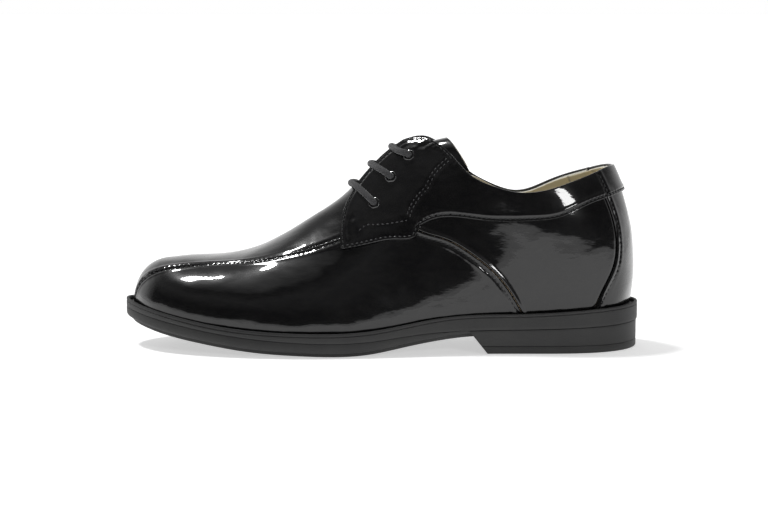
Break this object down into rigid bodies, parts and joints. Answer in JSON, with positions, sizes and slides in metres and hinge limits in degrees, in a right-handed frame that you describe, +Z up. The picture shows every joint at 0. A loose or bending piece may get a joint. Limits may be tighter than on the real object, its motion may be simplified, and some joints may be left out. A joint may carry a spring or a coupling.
{
  "type": "lace-up dress shoe",
  "caption": "Black patent leather lace-up dress shoe, open-laced with a seamed toe strip, rubber sole and low heel; left foot.",
  "frame": {"origin": "centre of the shoe's box, on the floor under the sole", "axes": "+X from toe to heel, +Z up, -Y the outer (lateral) side of a left foot"},
  "size_m": [0.2401, 0.0864, 0.098],
  "materials": {
    "patent_leather": "gloss",
    "lining_leather": "matte",
    "sole_rubber": "satin",
    "fibre_board": "matte",
    "foam": "matte",
    "spring_steel": "satin",
    "eyelet_metal": "gloss",
    "lace_textile": "matte",
    "aglet_plastic": "gloss"
  },
  "bodies": {
    "shoe": {"bottom_filler": "foam", "collar_padding_lateral": "foam", "collar_padding_medial": "foam", "eyelets_lateral": "eyelet_metal", "eyelets_medial": "eyelet_metal", "facing_lining_lateral": "lining_leather", "facing_lining_medial": "lining_leather", "heel_block": "sole_rubber", "heel_counter_cover": "patent_leather", "heel_counter_stiffener": "fibre_board", "heel_lining": "lining_leather", "heel_tab": "patent_leather", "heel_tab_padding": "foam", "heel_top_piece": "sole_rubber", "insole_board": "fibre_board", "insole_foam": "foam", "lace": "lace_textile", "lace_aglets": "aglet_plastic", "midsole_rand": "sole_rubber", "outsole": "sole_rubber", "quarter_lining_lateral": "lining_leather", "quarter_lining_medial": "lining_leather", "quarter_lower_lateral": "patent_leather", "quarter_lower_medial": "patent_leather", "quarter_stay_lateral": "fibre_board", "quarter_stay_medial": "fibre_board", "quarter_upper_lateral": "patent_leather", "quarter_upper_medial": "patent_leather", "shank": "spring_steel", "sock_lining": "lining_leather", "toe_puff": "fibre_board", "vamp_centre_strip": "patent_leather", "vamp_lining": "lining_leather", "vamp_side_lateral": "patent_leather", "vamp_side_medial": "patent_leather"},
    "tongue": {"tongue_leather": "patent_leather", "tongue_lining": "lining_leather"}
  },
  "joints": [
    {"name": "tongue_flex", "type": "hinge", "parent": "shoe", "child": "tongue", "pos_m": [-0.012, 0, 0.067], "axis": [0, 1, 0], "range_deg": [0, 15], "stiffness_Nm_per_rad": 0.05, "springref_deg": -8.59}
  ]
}
